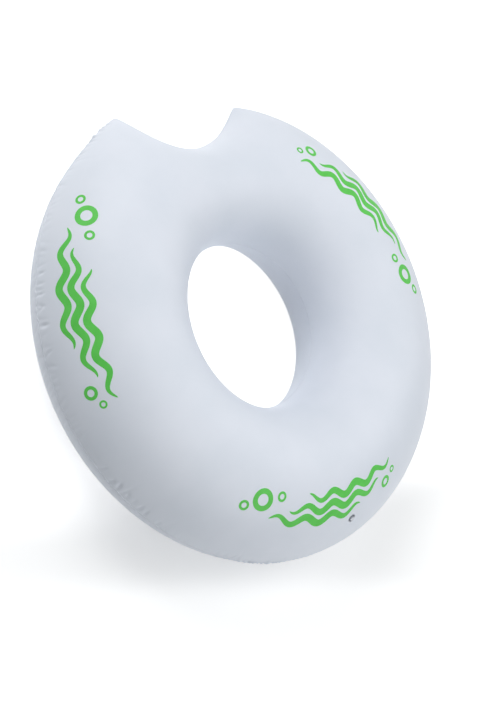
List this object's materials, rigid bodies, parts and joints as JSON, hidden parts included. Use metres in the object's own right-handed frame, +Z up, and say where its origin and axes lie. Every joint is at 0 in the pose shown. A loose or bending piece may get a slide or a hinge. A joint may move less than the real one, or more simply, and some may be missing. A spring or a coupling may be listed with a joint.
{
  "type": "donut pool float",
  "caption": "Blown-up donut pool float with a bite out of its rim: front and back panels of PVC film, and a push-in valve with a check flap and a strapped stopper.",
  "frame": {"origin": "on the floor, under the middle of the ring's box; the ring's own axis is 15 mm further towards +Y, because the bite shortens the ring on that side", "axes": "+Z up, square to the seams and out of the front panel, +Y from the middle of the seat hole towards the middle of the bite"},
  "size_m": [1.0727, 1.0428, 0.308],
  "materials": {
    "film": "pale blue-white PVC film, satin",
    "print": "green screen-printed ink on film",
    "valve": "soft moulded PVC, slightly milky",
    "flap": "soft PVC sheet"
  },
  "bodies": {
    "ring": {"front_panel": "film", "back_panel": "film", "valve_base": "valve"},
    "stem": {"valve_stem": "valve"},
    "plug": {"stopper": "valve"},
    "flap": {"check_flap": "flap"}
  },
  "joints": [
    {"name": "stem_pull", "type": "slide", "parent": "ring", "child": "stem", "axis": [0.0555, -0.6905, 0.7212], "range_m": [0, 0.01]},
    {"name": "stopper_swing", "type": "hinge", "parent": "stem", "child": "plug", "pos_m": [0.0469, -0.4665, 0.25218], "axis": [-0.0579, 0.7188, 0.6928], "range_deg": [0, 150]},
    {"name": "flap_open", "type": "hinge", "parent": "stem", "child": "flap", "pos_m": [0.04398, -0.45638, 0.24143], "axis": [0.0579, -0.7188, -0.6928], "range_deg": [0, 60], "stiffness_Nm_per_rad": 0.000015, "springref_deg": -20.05}
  ]
}
